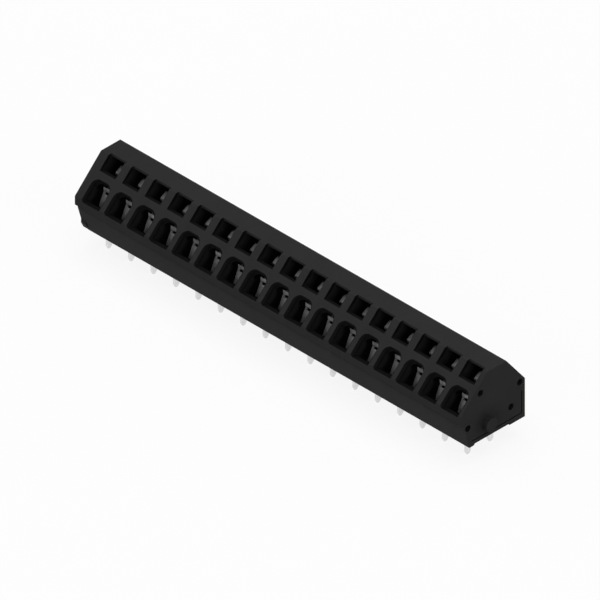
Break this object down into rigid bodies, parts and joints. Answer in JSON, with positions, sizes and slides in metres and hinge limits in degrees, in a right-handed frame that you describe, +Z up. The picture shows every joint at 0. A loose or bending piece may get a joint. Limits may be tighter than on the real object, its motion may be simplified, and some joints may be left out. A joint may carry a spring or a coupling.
{
  "type": "pcb terminal block",
  "caption": "Long board terminal block with sloping wire entries, screwdriver openings above them, tension-clamp contacts and two rows of solder pins.",
  "frame": {"origin": "on the board face, at the centre of the front solder pin of the first pole", "axes": "+X along the row of poles away from the end plate, -Y towards the wire side, +Z up from the board"},
  "size_m": [0.0885, 0.0145, 0.0164],
  "materials": {
    "housing_plastic": "moulded, matt black",
    "contact_metal": "tin-plated, satin",
    "spring_steel": "bright rolled strip"
  },
  "bodies": {
    "root": {"end_plate": "housing_plastic", "pole_housing_01": "housing_plastic", "pole_housing_02": "housing_plastic", "pole_housing_03": "housing_plastic", "pole_housing_04": "housing_plastic", "pole_housing_05": "housing_plastic", "pole_housing_06": "housing_plastic", "pole_housing_07": "housing_plastic", "pole_housing_08": "housing_plastic", "pole_housing_09": "housing_plastic", "pole_housing_10": "housing_plastic", "pole_housing_11": "housing_plastic", "pole_housing_12": "housing_plastic", "pole_housing_13": "housing_plastic", "pole_housing_14": "housing_plastic", "pole_housing_15": "housing_plastic", "pole_housing_16": "housing_plastic", "pole_housing_17": "housing_plastic", "current_bar_01": "contact_metal", "current_bar_02": "contact_metal", "current_bar_03": "contact_metal", "current_bar_04": "contact_metal", "current_bar_05": "contact_metal", "current_bar_06": "contact_metal", "current_bar_07": "contact_metal", "current_bar_08": "contact_metal", "current_bar_09": "contact_metal", "current_bar_10": "contact_metal", "current_bar_11": "contact_metal", "current_bar_12": "contact_metal", "current_bar_13": "contact_metal", "current_bar_14": "contact_metal", "current_bar_15": "contact_metal", "current_bar_16": "contact_metal", "current_bar_17": "contact_metal", "clamp_spring_01": "spring_steel", "clamp_spring_02": "spring_steel", "clamp_spring_03": "spring_steel", "clamp_spring_04": "spring_steel", "clamp_spring_05": "spring_steel", "clamp_spring_06": "spring_steel", "clamp_spring_07": "spring_steel", "clamp_spring_08": "spring_steel", "clamp_spring_09": "spring_steel", "clamp_spring_10": "spring_steel", "clamp_spring_11": "spring_steel", "clamp_spring_12": "spring_steel", "clamp_spring_13": "spring_steel", "clamp_spring_14": "spring_steel", "clamp_spring_15": "spring_steel", "clamp_spring_16": "spring_steel", "clamp_spring_17": "spring_steel"}
  },
  "joints": []
}
